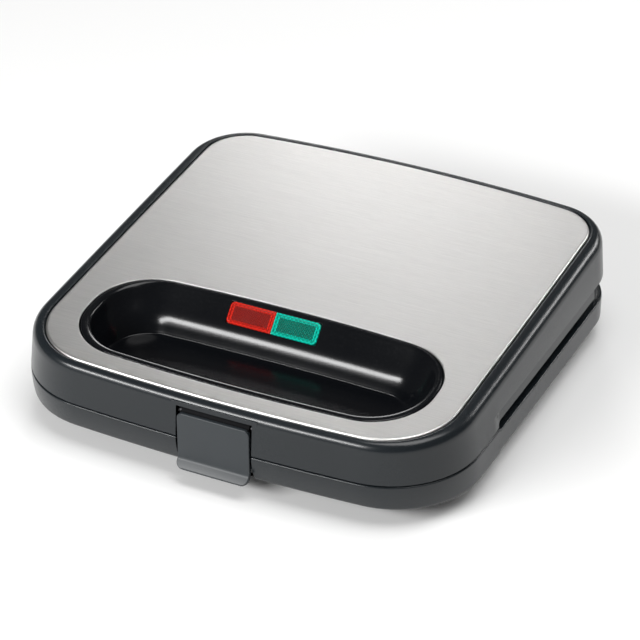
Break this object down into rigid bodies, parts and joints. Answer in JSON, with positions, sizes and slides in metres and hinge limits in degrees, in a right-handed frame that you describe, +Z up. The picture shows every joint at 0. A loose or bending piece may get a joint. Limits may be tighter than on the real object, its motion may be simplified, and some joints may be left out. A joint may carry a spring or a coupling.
{
  "type": "sandwich toaster",
  "caption": "Two-slice sandwich toaster: dark body, brushed steel lid top with a finger recess and two lamp lenses, rear hinge, front latch, ridged cooking plates.",
  "frame": {"origin": "on the table, under the middle of the object's outline seen from above, with the latch's lip counted in", "axes": "+Z up, the front with the latch faces -Y, the hinge is at +Y, +X to the right as seen from the front"},
  "size_m": [0.2378, 0.2438, 0.058],
  "materials": {
    "case_black": "moulded, satin",
    "recess_black": "moulded, gloss",
    "steel": "brushed left to right",
    "latch_grey": "moulded, satin",
    "plate_coating": "non-stick coating on cast aluminium",
    "red_lens": "clear red, ribbed inside",
    "green_lens": "clear green, ribbed inside",
    "screw_steel": "bright",
    "heater_steel": "dull sheath",
    "bright_sheet": "bright sheet",
    "rubber_black": "matt",
    "inner_black": "moulded, fine grain",
    "pale_insulator": "moulded",
    "lamp_glass": "clear",
    "lead_sleeve": "silicone sleeve"
  },
  "bodies": {
    "base": {"base_shell": "case_black", "base_cover": "inner_black", "feet": "rubber_black", "foot_screws": "screw_steel", "cover_screws": "screw_steel", "lower_plate": "plate_coating", "lower_plate_screws": "screw_steel", "lower_heater": "heater_steel", "lower_shield": "bright_sheet", "thermostat": "pale_insulator", "terminal_block": "pale_insulator", "cord_gland": "rubber_black", "gland_ring": "inner_black", "base_leads": "lead_sleeve", "left_hinge_pin": "screw_steel", "right_hinge_pin": "screw_steel"},
    "lid": {"lid_shell": "case_black", "steel_cover": "steel", "handle_recess": "recess_black", "lid_liner": "inner_black", "liner_screws": "screw_steel", "upper_plate": "plate_coating", "upper_plate_screws": "screw_steel", "upper_heater": "heater_steel", "upper_shield": "bright_sheet", "thermal_fuse": "pale_insulator", "fuse_clip": "bright_sheet", "lid_leads": "lead_sleeve", "lamp_holder": "pale_insulator", "red_lamp": "lamp_glass", "green_lamp": "lamp_glass", "red_lens": "red_lens", "green_lens": "green_lens", "latch_pin": "screw_steel"},
    "latch": {"latch": "latch_grey"}
  },
  "joints": [
    {"name": "lid_hinge", "type": "hinge", "parent": "base", "child": "lid", "pos_m": [0, 0.1117, 0.034], "axis": [-1, 0, 0], "range_deg": [0, 95]},
    {"name": "latch_pivot", "type": "hinge", "parent": "lid", "child": "latch", "pos_m": [0.0022, -0.1109, 0.038], "axis": [-1, 0, 0], "range_deg": [0, 28]}
  ]
}
